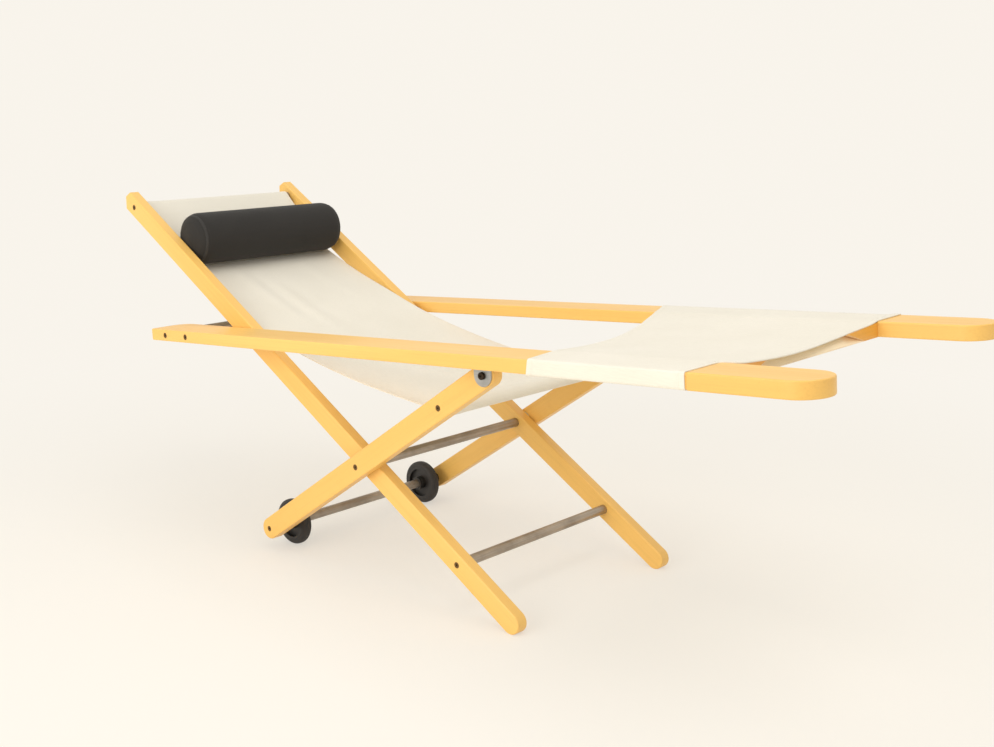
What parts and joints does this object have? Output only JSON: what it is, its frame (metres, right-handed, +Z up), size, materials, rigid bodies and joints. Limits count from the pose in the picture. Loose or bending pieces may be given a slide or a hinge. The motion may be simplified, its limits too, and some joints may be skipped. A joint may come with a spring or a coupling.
{
  "type": "outdoor chaise lounge",
  "caption": "Folding wooden chaise with crossed leg frames, a canvas sling, a head bolster, and long arm rails that carry a canvas leg rest and end in handles, with rear wheels.",
  "frame": {"origin": "on the floor, under the middle of the whole piece's box", "axes": "+X to the foot end and the handles, +Y to the sitter's left, +Z up"},
  "size_m": [1.8499, 0.6634, 0.7396],
  "materials": {
    "wood": "honey-yellow lacquered beech, satin",
    "rod_steel": "dark grey steel, satin",
    "screw_steel": "blackened",
    "bracket_steel": "zinc plated",
    "canvas": "natural white cotton canvas",
    "bolster_cloth": "charcoal woven cover",
    "bolster_filling": "soft filling",
    "nylon": "natural nylon",
    "tyre_rubber": "matt black",
    "wheel_plastic": "moulded black"
  },
  "bodies": {
    "post_frame": {"post_left": "wood", "post_right": "wood", "head_rod": "rod_steel", "foot_rod": "rod_steel", "post_rod_plugs": "rod_steel", "post_screws": "screw_steel", "sling": "canvas", "bolster_cover": "bolster_cloth", "bolster_core": "bolster_filling"},
    "leg_frame": {"leg_left": "wood", "leg_right": "wood", "seat_rod": "rod_steel", "wheel_axle": "rod_steel", "leg_rod_plugs": "rod_steel", "pivot_rod": "rod_steel", "leg_screws": "screw_steel", "pivot_screws": "screw_steel", "pivot_washers": "nylon", "wheel_spacers": "wheel_plastic", "axle_collars": "wheel_plastic", "rail_pivot_bolts": "screw_steel", "rail_pivot_sleeves": "bracket_steel", "rail_pivot_washers": "nylon"},
    "rail_frame": {"arm_rail_left": "wood", "arm_rail_right": "wood", "rail_bracket_left": "bracket_steel", "rail_bracket_right": "bracket_steel", "bracket_screws": "bracket_steel", "leg_rest_crossbar": "wood", "crossbar_dowels": "wood", "back_stop_rod": "rod_steel", "rear_rod": "rod_steel", "rail_rod_plugs": "rod_steel", "rail_screws": "screw_steel", "leg_rest_canvas": "canvas"},
    "wheel_left": {"wheel_tyre_left": "tyre_rubber", "wheel_hub_left": "wheel_plastic"},
    "wheel_right": {"wheel_tyre_right": "tyre_rubber", "wheel_hub_right": "wheel_plastic"}
  },
  "joints": [
    {"name": "fold", "type": "hinge", "parent": "post_frame", "child": "leg_frame", "pos_m": [-0.10373, 0, 0.24582], "axis": [0, 1, 0], "range_deg": [-105, 0], "deforming": ["sling"]},
    {"name": "rails_tilt", "type": "hinge", "parent": "leg_frame", "child": "rail_frame", "pos_m": [0.24512, 0, 0.48469], "axis": [0, -1, 0], "range_deg": [-1.5, 25]},
    {"name": "wheel_left_roll", "type": "hinge", "parent": "leg_frame", "child": "wheel_left", "pos_m": [-0.38972, 0.195, 0.05], "axis": [0, 1, 0], "continuous": true},
    {"name": "wheel_right_roll", "type": "hinge", "parent": "leg_frame", "child": "wheel_right", "pos_m": [-0.38972, -0.195, 0.05], "axis": [0, 1, 0], "continuous": true}
  ]
}
